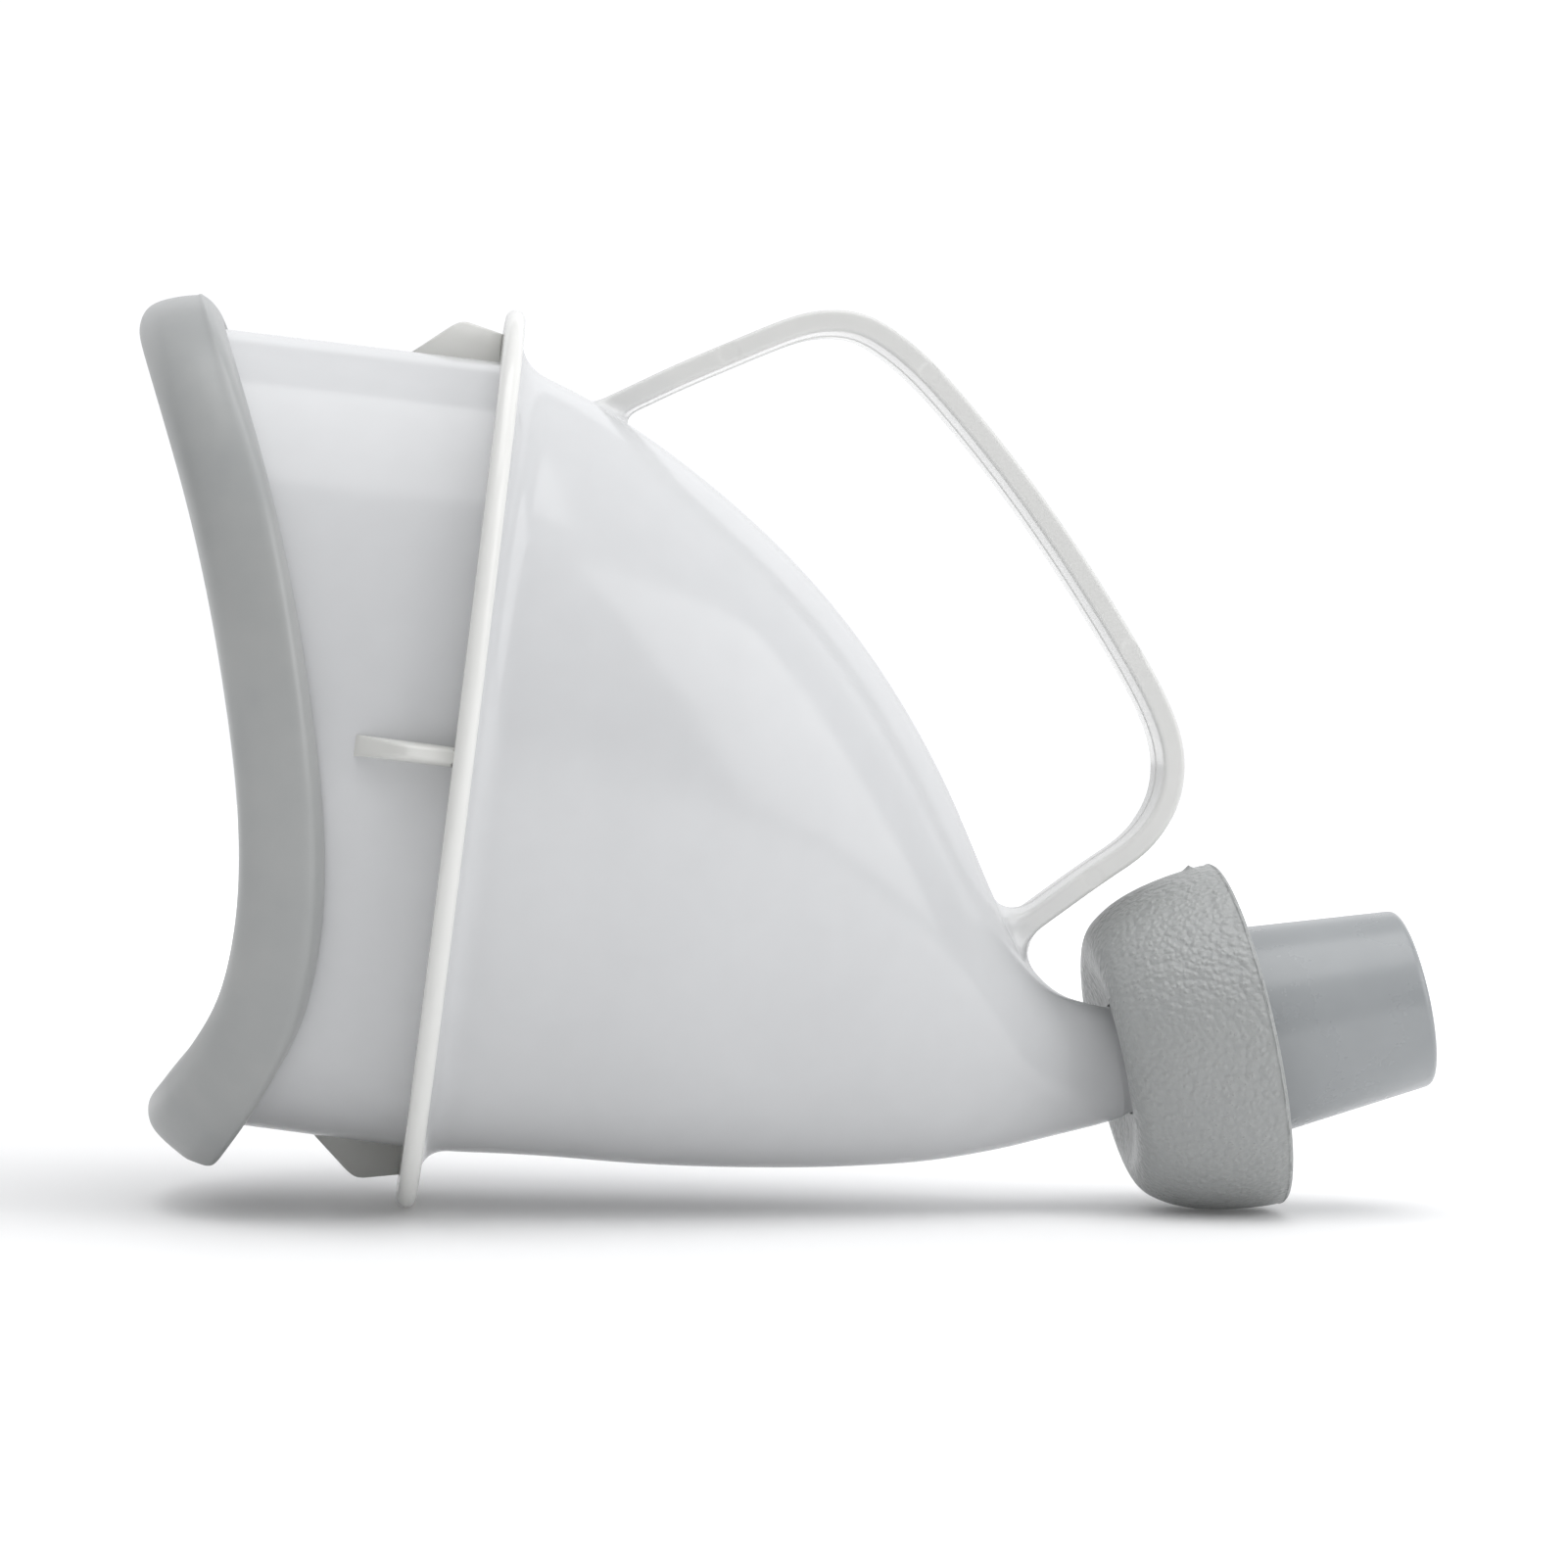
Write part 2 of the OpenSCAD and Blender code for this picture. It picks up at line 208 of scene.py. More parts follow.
def finish_from(name, plain, colour, roughness, height, depth_mm):
    """A material whose plain shader values are set on their sockets; the rest are wires."""
    finish = bpy.data.materials.new(name)
    finish.use_nodes = True
    tree = finish.node_tree
    shader = tree.nodes["Principled BSDF"]
    for key, value in plain.items():
        shader.inputs[key].default_value = value
    start = Wire(tree)
    bump = start.node("Bump", {}, {"Strength": 1.0, "Distance": depth_mm * MM, "Height": height(tree)})
    tree.links.new(colour(tree).socket, shader.inputs["Base Color"])
    tree.links.new(roughness(tree).socket, shader.inputs["Roughness"])
    tree.links.new(bump.socket, shader.inputs["Normal"])
    return finish


def spot(tree):
    """The object's own coordinates, which every finish is laid out in."""
    return Wire(tree).node("TexCoord", out=3)


BODY_WHITE = (0.615, 0.622, 0.632)
# The flange's white is the body's polypropylene white painted lighter and warmer: a painted highlight on
# its rounded edge.
FLANGE_LIT_WHITE = (0.775, 0.775, 0.755)
# The ribs' white is a copy of the same polypropylene white, set darker than the flange's as painted shade
# on their faces (still lighter and warmer than the body's, as painted light).
SHADED_RIB_WHITE = (0.70, 0.70, 0.675)
# The strap's white is the body's polypropylene white painted lighter and warmer: painted light in the thin
# strap.
LIT_STRAP_WHITE = (0.70, 0.70, 0.685)


def polypropylene(name, white, gloss, melts=None):
    """Glossy moulded polypropylene: faint cloudiness, handling smudges and mould grain.
    Where the mesh value named by melts rises to 1, the colour becomes the body's."""
    def colour(tree):
        cloud = spot(tree).noise(30, 3.0) * 0.75 + spot(tree).noise(4, 1.0) * 0.25
        dimmer = tuple(c * 0.955 for c in white)
        tone = cloud.ramp((0.36, 0.0), (0.66, 1.0)).mix((*white, 1), (*dimmer, 1))
        if melts:
            share = Wire(tree).node("Attribute", {"attribute_name": melts}, out=2)
            tone = share.mix(tone, (*BODY_WHITE, 1))
        return tone

    def roughness(tree):
        smudge = spot(tree).noise(14, 2.0).ramp((0.3, 0.0), (0.75, 1.0))
        return smudge * 0.035 + spot(tree).noise(2.5, 2.0) * 0.02 + gloss

    def height(tree):
        return spot(tree).noise(22, 1.0) * 0.8 + spot(tree).noise(5, 1.0) * 0.06

    return finish_from(name, {"IOR": 1.49}, colour, roughness, height, 0.05)


white_shell = polypropylene("polypropylene_shell", BODY_WHITE, 0.12)

lip = [tube_ring(0.03 * (1 - math.sin(a)), WALL / 2 * (math.cos(a) - 1))
       for a in np.linspace(math.pi, 0, 9)]
outside = [tube_ring(f, 0) for f in np.linspace(0.05, 1, 30)]
inside = [tube_ring(f, -WALL) for f in np.linspace(1, 0.05, 30)]
tube = skin("mouth_tube_shell", lip + outside + inside)
fit(tube, white_shell, "funnel", "funnel", "mouth_tube")

# ---- standing flange ----
# A flat ring that stands out round the funnel and on which it rests. Moulded in one with
# the funnel; crisp corner on the mouth side, fully rounded outer edge.
FLANGE_OUT_W, FLANGE_OUT_H = 6.0, 6.4


def flange_ring(x, out, less=0.0):
    """Ring of the flange at x; out is the share of its full height."""
    y, z = oval(FUNNEL_W + FLANGE_OUT_W * out - less, FUNNEL_H + FLANGE_OUT_H * out - less)
    return in_mouth(x, y, z + BODY_UP * (1 - out))


# Lighter, warmer copy of the body's white: painted light on the flange's rounded edge.
lit_flange_shell = polypropylene("polypropylene_flange_painted_light", FLANGE_LIT_WHITE, 0.14)
section = [(-FLANGE_HALF_T, 0, WALL)] + [(-FLANGE_HALF_T, s, 0) for s in np.linspace(0, 0.78, 8)]
for a in np.linspace(0, math.pi, 17):
    section.append((-FLANGE_HALF_T * math.cos(a), 1, FLANGE_HALF_T * (1 - math.sin(a))))
section += [(FLANGE_HALF_T, s, 0) for s in np.linspace(0.78, 0.3, 5)] + [(FLANGE_HALF_T, 0, WALL)]
flange = skin("standing_flange", [flange_ring(*s) for s in section])
fit(flange, lit_flange_shell, "funnel", "funnel", "flange_ring")

# ---- hood ----
# The closed part of the funnel that runs down from the flange to the outlet. The same
# moulding; a fillet of 3 mm joins it to the flange. Rows: top x, top z, bottom x,
# bottom z, half width, squareness of the section.
NECK = (38.12, 0.0, 17.3)
NECK_TILT = math.radians(12.5)
HOOD_END_R = 6.6
ROOT_R = 3.0


def on_neck(along, out):
    """x and z of a point of the neck's own frame, out being upward from its axis."""
    c, s = math.cos(NECK_TILT), math.sin(NECK_TILT)
    return NECK[0] + along * c - out * s, NECK[2] + along * s + out * c


top_start = in_mouth(FLANGE_HALF_T, 0, FUNNEL_H + BODY_UP)
low_start = in_mouth(FLANGE_HALF_T, 0, BODY_UP - FUNNEL_H)
HOOD_ROWS = [
    (-29, 94.9, -38.7, 6.3, 36.8, 2.58), (-23.9, 92.5, -33.5, 6.15, 36.2, 2.54),
    (-16.5, 88, -26.5, 5.8, 34.9, 2.5), (-8, 81.7, -18.5, 5.1, 32.8, 2.46),
    (-0.4, 74.9, -10.5, 4.75, 30.2, 2.42), (6, 67.9, -3, 4.65, 27.3, 2.38),
    (11.3, 60.7, 4, 4.7, 24.3, 2.34), (15.5, 53.9, 10.3, 5, 21.4, 2.3),
    (19, 47.2, 16, 5.4, 18.4, 2.26), (22, 40.4, 21.3, 6.2, 15.4, 2.22),
    (25, 34, 26.4, 7.2, 12.6, 2.16), (28.2, 28.4, 31, 8.4, 10, 2.1),
    (31.6, 25.2, 34.7, 9.3, 8.2, 2.05), (34.4, 24.2, 37.4, 10, 7.1, 2)]
SHIFT_X = -0.48
rows = [(top_start[0], top_start[2], low_start[0], low_start[2], FUNNEL_W, SQUARENESS)]
rows += [(a + SHIFT_X, b, c + SHIFT_X, d, w, n) for a, b, c, d, w, n in HOOD_ROWS]
rows += [(*on_neck(-0.4, HOOD_END_R), *on_neck(-0.4, -HOOD_END_R), HOOD_END_R, 2)]
PER_ROW = 12
hood_line = curve_through(rows, PER_ROW)
hood_line = np.stack([soften(column, 50) for column in hood_line.T], -1)


def hood_ring(u, off):
    """Section of the hood at row u, moved out by off."""
    at = [np.interp(u * PER_ROW, np.arange(len(hood_line)), column) for column in hood_line.T]
    top, low = np.array([at[0], 0, at[1]]), np.array([at[2], 0, at[3]])
    half_h = np.linalg.norm(top - low) / 2
    y, h = oval(at[4] + off, half_h + off, at[5])
    return (top + low) / 2 + np.outer(y, (0, 1, 0)) + np.outer(h, (top - low) / (2 * half_h))


last_row = len(rows) - 1
root = [hood_ring(1 - math.cos(a), ROOT_R * (1 - math.sin(a))) for a in np.linspace(0, math.pi / 2, 14)]
outside = [hood_ring(u, 0) for u in np.linspace(1.1, last_row, 150)]
inside = [hood_ring(u, -WALL) for u in np.linspace(last_row, 0, 120)]
hood = skin("hood_shell", root + outside + inside)
fit(hood, white_shell, "funnel", "funnel", "funnel_hood")

# ---- outlet neck ----
# A short round tube at the end of the hood that the bottle adaptor pushes on to; the
# same moulding, with a chamfered end.
NECK_R, NECK_BORE_R, NECK_LONG = 6.3, 4.8, 9.6


def turned(name, profile, steps=192, uneven=lambda r, a, turn: 0):
    """A closed profile of (radius, place along) turned round the neck's axis, with the
    uneven height that a moulding's flash has."""
    turn = np.linspace(0, 2 * math.pi, steps, endpoint=False)
    axis = np.array([math.cos(NECK_TILT), 0, math.sin(NECK_TILT)])
    up = np.array([-math.sin(NECK_TILT), 0, math.cos(NECK_TILT)])
    round_it = np.outer(np.cos(turn), up) + np.outer(np.sin(turn), (0, 1, 0))
    rings = [np.array(NECK) + axis * a + round_it * (r + np.zeros(steps) + uneven(r, a, turn))[:, None]
             for r, a in profile]
    return skin(name, rings)


def rounded(corners, steps=6):
    """A closed outline from corners (x, y, radius), each turned on its radius."""
    outline = []
    for i, (x, y, r) in enumerate(corners):
        here = np.array([x, y], float)
        before, after = (np.array(corners[k][:2], float) - here for k in (i - 1, (i + 1) % len(corners)))
        if r <= 0:
            outline.append(here)
            continue
        reach = [min(r, np.linalg.norm(v) * 0.49) / np.linalg.norm(v) for v in (before, after)]
        a, b = here + before * reach[0], here + after * reach[1]
        for t in np.linspace(0, 1, steps):
            outline.append(a * (1 - t) ** 2 + 2 * here * t * (1 - t) + b * t ** 2)
    return np.array(outline)


neck = turned("outlet_neck_tube", rounded([
    (NECK_BORE_R, -0.4, 0), (HOOD_END_R, -0.4, 0), (NECK_R, 0.4, 0.3),
    (NECK_R, NECK_LONG, 0.5), (NECK_BORE_R, NECK_LONG, 0.4)]))
fit(neck, white_shell, "funnel", "funnel", "outlet_neck")

# ---- four gussets ----
# Small ribs that brace the flange against the mouth tube, above, below and at both
# sides. The same moulding; drafted in thickness toward a softly rounded free edge.
GUSSET = [(-1.0, -0.5), (-11.9, -0.5), (-11.5, -0.02), (-6.9, 4.0), (-5.7, 4.6), (-1.0, 3.6)]
GUSSET_TALL = 4.6
GUSSET_ROOT, GUSSET_EDGE = 1.15, 0.7                 # half thickness
GUSSET_ROUND = 0.45                                  # radius of its long edges
INSETS = (0.62, 0.3, 0.1, 0)                         # steps of that radius, from the face inward
# Darker copy of the flange's white: painted shade on the ribs.
shaded_rib_white = polypropylene("polypropylene_ribs_painted_shade", SHADED_RIB_WHITE, 0.14)


def gusset(name, half, turn, lift, node):
    """One rib, half the funnel's size from its axis and turned round it."""
    outline = rounded([(x, h, r) for (x, h), r in zip(GUSSET, (0, 0, 0.3, 0.9, 0.9, 0))], 8)
    middle = outline.mean(axis=0)
    rings = []
    for side, inset in [(-1, i) for i in INSETS] + [(1, i) for i in reversed(INSETS)]:
        outer = inset / INSETS[0]
        share = np.clip(outline[:, 1], 0, GUSSET_TALL) / GUSSET_TALL
        thick = GUSSET_ROOT - (GUSSET_ROOT - GUSSET_EDGE) * share
        pull = np.clip((outline[:, 1:] + 0.5) / 1.5, 0, 1)
        toward = (middle - outline) / np.linalg.norm(middle - outline, axis=1)[:, None]
        edge_in = GUSSET_ROUND * (1 - math.sqrt(1 - outer ** 2))
        x, h = (outline + toward * pull * edge_in).T
        y = side * (thick - GUSSET_ROUND + GUSSET_ROUND * outer)
        c, s = math.cos(turn), math.sin(turn)
        up = half + lift + h
        rings.append(in_mouth(x, y * c - up * s, y * s + up * c))
    rib = skin(name, rings, closed=False, sharp=50)
    fit(rib, shaded_rib_white, "funnel", "funnel", node)


gusset("rib_above", FUNNEL_H, 0, BODY_UP, "gusset_top")
gusset("rib_below", FUNNEL_H, math.pi, -BODY_UP, "gusset_bottom")
gusset("rib_right", FUNNEL_W, math.pi / 2, 0, "gusset_right")
gusset("rib_left", FUNNEL_W, -math.pi / 2, 0, "gusset_left")

# ---- handle ----
# A flat strap for the fingers, bent in one loop from the hood's top to its lower end and
# moulded with it. Fillets at both roots, a parting line along the finger side and shallow
# round ejector marks on the near edge.
HANDLE_LINE = [(-21.85, 91.3), (-15.4, 94.8), (-8, 98.2), (-1.5, 101.05), (1.8, 102.1), (5.2, 102.3),
               (8.4, 101.5), (13.2, 98.2), (18.1, 93.3), (25.1, 85), (32.1, 75.5), (39.2, 64.6), (43, 57.6),
               (44.4, 52.6), (43.8, 47.6), (40.8, 42.9), (36, 39.4), (31, 35.7), (26.45, 31.85)]
STRAP_W, STRAP_T, STRAP_EDGE = 5.0, 1.25, 0.6      # half width, half thickness, edge radius
FLAT_W, CROWN, RIDGE = 4.2, 0.08, 0.1              # half width of its faces, their swell, parting ridge
MARKS = [15.4, 41.2, 80.9, 112.2]                  # along the strap from its upper root
MARK_R, MARK_DEEP = 1.3, 0.07
UPPER_ROOT, LOWER_ROOT = 7.5, 8.5                  # where its fillets begin, from each end
ROOT_RINGS, MELT_RINGS = 15, 18                    # rings of a fillet; rings that take the body's colour

line = curve_through(HANDLE_LINE, 20) + (SHIFT_X, 0)
run = np.concatenate([[0], np.cumsum(np.linalg.norm(np.diff(line, axis=0), axis=1))])
STEP = 0.25                                        # from ring to ring
even = np.arange(0, run[-1], STEP)
line = np.stack([soften(np.interp(even, run, column), 70) for column in line.T], -1)
along = np.gradient(line, axis=0)
along /= np.linalg.norm(along, axis=1)[:, None]

near = [(-STRAP_W, h) for h in np.linspace(STRAP_T - STRAP_EDGE, STRAP_EDGE - STRAP_T, 9)[1:-1]]
strap = rounded([(-STRAP_W, -STRAP_T, STRAP_EDGE), (STRAP_W, -STRAP_T, STRAP_EDGE),
                 (STRAP_W, STRAP_T, STRAP_EDGE), (-STRAP_W, STRAP_T, STRAP_EDGE)], 8)
over_ridge = (-0.22, -0.12, 0, 0.12, 0.22)
across = np.concatenate([np.linspace(-FLAT_W, -0.5, 7), over_ridge, np.linspace(0.5, FLAT_W, 7)])
finger_side = [(y, -STRAP_T) for y in across]
outer_side = [(y, STRAP_T) for y in np.linspace(FLAT_W, -FLAT_W, 15)]
strap = np.array(list(strap[:8]) + finger_side + list(strap[8:24]) + outer_side + list(strap[24:]) + near)
strap[:, 1] *= 1 + CROWN * np.clip(1 - (strap[:, 0] / 4.4) ** 2, 0, 1)
ridge = (abs(strap[:, 0]) < 0.15) & (strap[:, 1] < 0)
strap[ridge, 1] -= RIDGE * (1 - abs(strap[ridge, 0]) / 0.2)


def strap_ring(i):
    """Section of the strap at step i, with the ejector marks sunk into its near edge."""
    y, h = strap.T.copy()
    for mark in MARKS:
        away = np.hypot(i * STEP - mark, h)
        deep = np.clip((MARK_R - away) / 0.2, 0, 1) * MARK_DEEP
        y = np.where(y < -STRAP_W + 0.05, y + deep, y)
    (cx, cz), (dx, dz) = line[i], along[i]
    return np.stack([cx - dz * h, y, cz + dx * h], -1)


hood_tree = BVHTree.FromPolygons([v.co for v in hood.data.vertices],
                                 [p.vertices for p in hood.data.polygons])


def strap_root(i, toward, back_off, spread):
    """Rings of the fillet that takes the strap from step i down into the hood. Three
    sizes each, for the outer side, the finger side and the edges."""
    (dx, dz), ring = along[i] * toward, strap_ring(i)
    down = Vector((dx, 0, dz))
    rings = [[] for _ in range(ROOT_RINGS)]
    for point, (y, h) in zip(ring, strap):
        here = Vector(point) * MM
        hit = hood_tree.ray_cast(here, down)
        landing, normal = hit[0], hit[1]
        weight = np.array([max(0, h / STRAP_T) ** 2, max(0, -h / STRAP_T) ** 2, (y / STRAP_W) ** 4]) + 1e-6
        weight /= weight.sum()
        out = Vector((-along[i][1] * h / STRAP_T, y / STRAP_W, along[i][0] * h / STRAP_T))
        out = (out - normal * out.dot(normal)).normalized()
        foot, foot_normal = hood_tree.find_nearest(landing + out * float(np.dot(weight, spread)) * MM)[:2]
        start = landing - down * float(np.dot(weight, back_off)) * MM
        inward = (landing - foot) - foot_normal * (landing - foot).dot(foot_normal)
        bend_a = start + down * (landing - start).length * 0.6
        bend_b = foot + inward * 0.6
        for k, t in enumerate(np.linspace(0, 1, ROOT_RINGS - 1)):
            rings[k].append((start * (1 - t) ** 3 + 3 * bend_a * t * (1 - t) ** 2
                             + 3 * bend_b * t * t * (1 - t) + foot * t ** 3) / MM)
        rings[-1].append((foot - foot_normal * 0.4 * MM - out * 0.5 * MM) / MM)
    return [np.array([tuple(p) for p in r]) for r in rings]


first, final = round(UPPER_ROOT / STEP), len(line) - round(LOWER_ROOT / STEP)
upper = strap_root(first, -1, (1.6, 3.0, 2.0), (0.5, 2.4, 1.2))
lower = strap_root(final, 1, (4.5, 4.5, 3.0), (4.0, 4.0, 1.2))
strap_rings = [strap_ring(i) for i in range(first, final + 1)]
handle = skin("handle_strap", upper[::-1] + strap_rings + lower, closed=False)
melt_out = [1 - k / MELT_RINGS for k in range(MELT_RINGS)]
melt_in = [(k + 1) / MELT_RINGS for k in range(MELT_RINGS)]
melt = melt_out + [0] * (len(strap_rings) + 2 * (ROOT_RINGS - MELT_RINGS)) + melt_in
handle.data.attributes.new("melt", "FLOAT", "POINT").data.foreach_set("value", np.repeat(melt, len(strap)))
# The strap's painted lighter white fades back to the body's white over the melt rings at its roots.
lit_handle_white = polypropylene("polypropylene_handle_painted_light", LIT_STRAP_WHITE, 0.12, "melt")
fit(handle, lit_handle_white, "funnel", "funnel", "handle_loop")

# ---- soft rim ----
# A U-shaped moulding of mid-grey thermoplastic rubber that is pushed over the lip and
# seals against the body. Its back edge stands a little off the tube.
RIM_DEEP, RIM_GAP = 9.3, 0.12
RIM_DIP = 1.5                        # how far its lowest back corner hangs down
TOP_ROUND = 1.5                      # how far its highest back corner is rounded off
RIM_OUT = 3.6                        # how far it stands out round the lip
# moulding nibs: behind the front edge, across, top 1 or bottom -1, height, and the two widths
NIBS = [(6.3, 0, 1, 0.22, 1.6, 5.0), (6.2, 0.6, -1, 0.3, 0.5, 1.6), (7.5, -0.8, -1, 0.28, 0.4, 1.4)]
rim_outer = [(6.0, RIM_GAP), (6.9, 0.5), (8.9, 0.45), (RIM_DEEP, 0.8), (9.2, 1.6), (8.75, 2.7), (8.3, 3.3),
             (7.6, RIM_OUT), (6.4, 3.5), (4.2, 3.05), (2.2, 2.35), (0.95, 1.55), (0.25, 0.5), (0.0, -0.9),
             (0.25, -2.1), (0.95, -3.0), (2.4, -3.5), (5.5, -3.45), (8.4, -3.2), (8.9, -2.6),
             (8.3, -WALL - RIM_GAP)]
channel = [(q, -WALL - RIM_GAP) for q in np.linspace(7.6, 3.3, 5)] + [(2.95, -WALL - RIM_GAP)]
channel += [(2.95, RIM_GAP)] + [(q, RIM_GAP) for q in np.linspace(3.4, 5.5, 4)]


def rim_ring(q, off):
    """Ring of the rim, q behind its front edge and off outside the funnel's lip."""
    y, z = oval(FUNNEL_W - LIP_DRAFT + off, FUNNEL_H - LIP_DRAFT + off)
    low = np.clip(-LIP_Z / FUNNEL_H - 0.7, 0, 1) / 0.3
    low = low * low * (3 - 2 * np.clip(low, 0, 1))
    flare = RIM_DIP * low * min(1, q / 5) * off / RIM_OUT if off > 0.5 else 0
    high = np.clip(LIP_Z / FUNNEL_H - 0.6, 0, 1) / 0.4
    high = high * max(0, min(1, (q - 6) / 2)) * max(0, off / RIM_OUT) ** 2
    for nib_q, nib_y, side, tall, wide_q, wide_y in NIBS:
        near_q = math.exp(-((q - nib_q) / wide_q) ** 2) * (off > 2)
        z = z + side * tall * near_q * np.exp(-((LIP_Y - nib_y) / wide_y) ** 2) * (LIP_Z * side > 0)
    return in_mouth(front_x(LIP_Z) + q - TOP_ROUND * high, y, z + BODY_UP - flare)


RUBBER = {"IOR": 1.5, "Sheen Weight": 0.06, "Sheen Roughness": 0.5, "Specular IOR Level": 0.7}


def soft_rubber(name, light, shade, dull, grain_mm, grain_deep):
    """Thermoplastic rubber: dusty cloudiness, rubbed patches and a moulded grain."""
    def colour(tree):
        cloud = spot(tree).noise(16, 3.0) * 0.8 + spot(tree).noise(3, 2.0) * 0.2
        return cloud.ramp((0.36, 0.0), (0.66, 1.0)).mix((*light, 1), (*shade, 1))

    def roughness(tree):
        rubbed = spot(tree).noise(14, 2.0).ramp((0.25, 0.0), (0.8, 1.0))
        return rubbed * 0.08 + spot(tree).noise(1.2, 2.0) * 0.04 + dull

    def height(tree):
        return spot(tree).noise(grain_mm, 1.0) * grain_deep + spot(tree).noise(14, 1.0) * (1 - grain_deep)

    return finish_from(name, RUBBER, colour, roughness, height, 0.12)


rim_rubber = soft_rubber("rubber_rim", (0.355, 0.362, 0.358), (0.315, 0.325, 0.325), 0.28, 1.4, 0.08)
section = list(curve_through(rim_outer, 5)) + channel
rim = skin("soft_mouth_rim", [rim_ring(*s) for s in section], sharp=50)
fit(rim, rim_rubber, "rim", "soft_rim", "mouth_rim")

# ---- spout ----
# The tapered plug for a drink bottle's neck: smooth satin rubber, with a base disc that
# is trapped in the collar and a sleeve that pushes on to the funnel's neck.
SPOUT_TIP = 36.1
spout_rubber = soft_rubber("rubber_spout", (0.315, 0.33, 0.34), (0.285, 0.30, 0.31), 0.22, 1.6, 0.04)
spout = turned("tapered_spout", rounded([
    (6.35, 3.1, 0), (14.5, 3.1, 0.3), (14.5, 5.0, 0.3), (12.35, 5.0, 0), (12.35, 16, 0.5),
    (10.42, SPOUT_TIP, 0.9), (8.1, SPOUT_TIP, 0.8), (8.1, 13.5, 0.6), (4.8, 12, 0.3), (4.8, 9.8, 0),
    (6.35, 9.8, 0)], 9))
fit(spout, spout_rubber, "spout", "spout", "outlet_spout")

# ---- collar ----
# The rubber collar that grips round the bottle's neck ring, with a coarse leather grain
# from its mould and a thin line of flash where the mould's halves met.
FLASH_R, EDGE_R = 20.4, 20.12        # tip of the flash line; the front edge beside it
GATE_AT = 13.2                       # the gate nib's place along the collar
COLLAR = [(6.5, 0.8, 0.2), (8.2, 0.7, 0.8), (12.6, -0.8, 1.6), (15.6, 0.1, 1.5), (17.6, 2.8, 1.8),
          (18.9, 6.0, 2.5), (19.8, 10.2, 3.0), (20.2, 14.4, 1.2), (20.15, 15.45, 0.1),
          (FLASH_R, 15.58, 0), (EDGE_R, 15.7, 0.1), (20.0, 16.0, 0.25), (18.2, 16.0, 0.5), (17, 14.5, 0.6),
          (17, 6.7, 0.4), (14.1, 6.1, 0.2), (14.1, 5.2, 0), (14.8, 5.2, 0), (14.8, 2.9, 0), (6.5, 2.9, 0)]


def leather_rubber(name, light, shade):
    """The collar's rubber: a coarse moulded leather grain, its cell tops painted paler as a painted
    highlight and the hollows between them painted darker as painted shade.
    """
    def cells(tree):
        bent = spot(tree).node("VectorMath", {"operation": "MULTIPLY_ADD"}, {
            0: spot(tree).node("TexNoise", {}, {"Vector": spot(tree), "Scale": 700.0}, out=1),
            1: (0.0007, 0.0007, 0.0007), 2: spot(tree)})
        return bent.node("TexVoronoi", {"feature": "SMOOTH_F1"},
                         {"Vector": bent, "Scale": 1350.0, "Smoothness": 0.6})

    def colour(tree):
        # The cells darken the colour toward the hollows between them: painted shade there, painted
        # highlight on the paler tops.
        cloud = spot(tree).noise(16, 5.0) * 0.6 + cells(tree) * 0.35
        return cloud.ramp((0.3, 0.0), (0.7, 1.0)).mix((*light, 1), (*shade, 1))

    def roughness(tree):
        return cells(tree) * 0.15 + spot(tree).noise(9, 5.0) * 0.08 + 0.22

    def height(tree):
        return (1 - cells(tree)) * 0.8 + spot(tree).noise(0.4, 3.0, 0.6) * 0.3

    return finish_from(name, RUBBER, colour, roughness, height, 0.3)


collar_rubber = leather_rubber("rubber_collar", (0.36, 0.37, 0.365), (0.32, 0.33, 0.33))


def collar_flash(r, a, turn):
    """The flash line comes and goes round the edge; a gate nib stands at the top."""
    ragged = 0.5 + 0.3 * np.sin(7 * turn + 1) + 0.25 * np.sin(17 * turn + 2) + 0.2 * np.sin(43 * turn)
    ragged = ragged * abs(np.sin(turn))
    under = np.clip(-np.cos(turn) - 0.9, 0, 0.1) * 10
    line = (np.clip(ragged, 0.1, 1.1) * (1 - under) - 1) * (FLASH_R - EDGE_R) if r > FLASH_R - 0.1 else 0
    back = np.minimum(turn, 2 * math.pi - turn)
    nib = 0.5 * math.exp(-((a - GATE_AT) / 0.35) ** 2) * np.exp(-(back / 0.035) ** 2) if r > 19 else 0
    return line + nib


collar = turned("bottle_collar_skirt", rounded(COLLAR, 8), 576, uneven=collar_flash)
fit(collar, collar_rubber, "collar", "collar", "bottle_collar")

# ---- floor, light and camera ----
# A plain pale floor with a painted glow, fainter near the object and stronger away from it so it grows
# whiter there, and soft
# studio light: a wide panel overhead, one in front at the outlet's side, and a pale sky with a back wall.
FLOOR_HALF = 4.0                     # metres
FLOOR_GLOW = 0.45
FLOOR_WHITER = ((0.15, 0.12), (0.7, 1.0))            # distance from the middle, share of the glow
floor_mesh = bpy.data.meshes.new("floor")
corners = [(x * FLOOR_HALF, y * FLOOR_HALF, 0) for x, y in ((-1, -1), (1, -1), (1, 1), (-1, 1))]
floor_mesh.from_pydata(corners, [], [(0, 1, 2, 3)])
floor = bpy.data.objects.new("floor", floor_mesh)
bpy.context.scene.collection.objects.link(floor)
pale = finish_from("pale_floor_painted_glow", {"IOR": 1.45, "Emission Strength": FLOOR_GLOW},
                   lambda t: spot(t).noise(120, 2.0).mix((0.93, 0.93, 0.93, 1), (0.9, 0.9, 0.9, 1)),
                   lambda t: spot(t).noise(60, 2.0) * 0.05 + 0.6, lambda t: spot(t).noise(40, 2.0), 0.01)
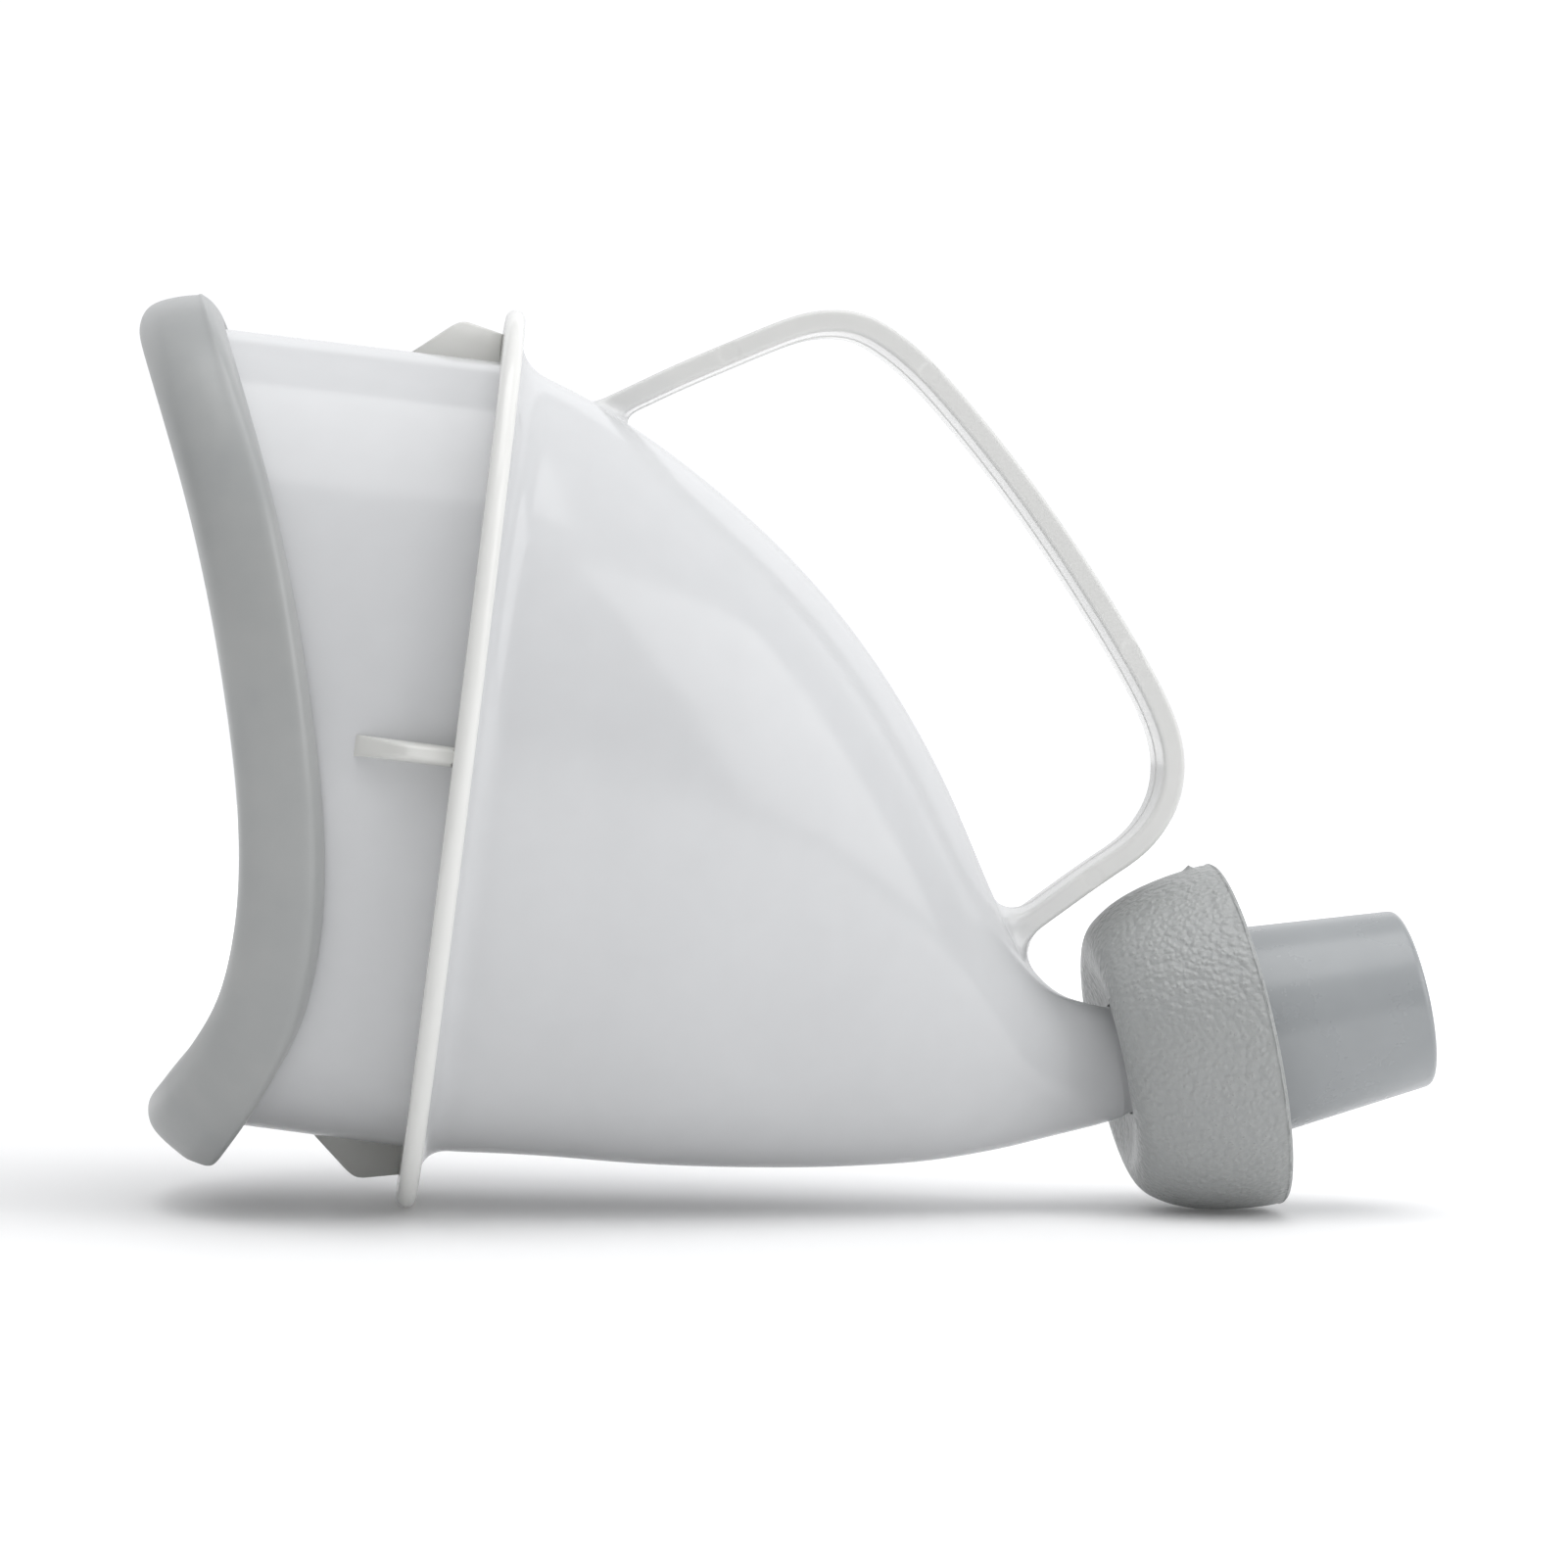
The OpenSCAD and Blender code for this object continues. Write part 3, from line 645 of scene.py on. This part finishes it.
far = spot(pale.node_tree).node("VectorMath", {"operation": "LENGTH"}, {0: spot(pale.node_tree)}, out=1)
pale.node_tree.links.new(far.ramp(*FLOOR_WHITER).socket,
                         pale.node_tree.nodes["Principled BSDF"].inputs["Emission Color"])
pale.cycles.emission_sampling = "NONE"
floor_mesh.materials.append(pale)


def panel(name, place, aim, size, power):
    """A square soft light at a place, turned to an aim."""
    lamp = bpy.data.lights.new(name, "AREA")
    lamp.shape, lamp.size, lamp.energy = "SQUARE", size, power
    lit = bpy.data.objects.new(name, lamp)
    lit.location = place
    lit.rotation_euler = (Vector(aim) - Vector(place)).to_track_quat("-Z", "Y").to_euler()
    bpy.context.scene.collection.objects.link(lit)


panel("overhead_panel", (0.05, -0.22, 0.9), (0, 0, 0.05), 0.8, 3.5)
panel("outlet_panel", (0.95, -0.55, 0.45), (0, 0, 0.05), 0.8, 3.6)
world = bpy.data.worlds.new("studio")
world.use_nodes = True
air = Wire(world.node_tree)


def facing(direction):
    """How far a direction of the sky turns to the given one, never below 0."""
    turned_to = air.node("VectorMath", {"operation": "DOT_PRODUCT"},
                         {0: air.node("TexCoord", out=0), 1: direction}, out=1)
    return turned_to.math("MAXIMUM", turned_to, 0.0)


WALL_TOP = 0.57                      # sine of the height at which the pale back wall ends
WALL_GLOW, BACK_GLOW, OUTLET_GLOW, TOP_GLOW = 0.5, 0.25, 0.22, 0.97
BACKDROP = 1.04                      # what the camera itself sees behind the object
back_wall = facing((0, 0, 1)).ramp((WALL_TOP - 0.03, 1.0), (WALL_TOP + 0.03, 0.0))
back_wall = back_wall * facing((0, 1, 0)).ramp((0.15, 0.0), (0.35, 1.0))
glow = back_wall * WALL_GLOW + facing((0, 1, 0)) * BACK_GLOW
glow = glow + facing((1, 0, 0)) * OUTLET_GLOW + facing((0, 0, 1)) * TOP_GLOW
seen = air.node("LightPath", out=0)
background = world.node_tree.nodes["Background"]
background.inputs["Color"].default_value = (0.98, 0.985, 1.0, 1)
world.node_tree.links.new((glow + seen * (BACKDROP - glow)).socket, background.inputs["Strength"])
bpy.context.scene.world = world
bpy.context.scene.view_settings.view_transform = "Standard"

CAMERA_AT = (-0.04358, -0.5110, 0.0512156)
YAW, PITCH, ROLL = math.radians(4.765), math.radians(-0.257), math.radians(1.0)
lens = bpy.data.cameras.new("camera")
lens.sensor_width, lens.lens = 36, 101.59
lens.clip_start, lens.clip_end = 0.01, 20
camera = bpy.data.objects.new("camera", lens)
bpy.context.scene.collection.objects.link(camera)
ahead = Vector((math.sin(YAW) * math.cos(PITCH), math.cos(YAW) * math.cos(PITCH), math.sin(PITCH)))
right = ahead.cross(Vector((0, 0, 1))).normalized()
above = right.cross(ahead)
turned_right = right * math.cos(ROLL) + above * math.sin(ROLL)
turned_above = above * math.cos(ROLL) - right * math.sin(ROLL)
pose = Matrix((turned_right, turned_above, -ahead)).transposed().to_4x4()
pose.translation = CAMERA_AT
camera.matrix_world = pose
bpy.context.scene.camera = camera
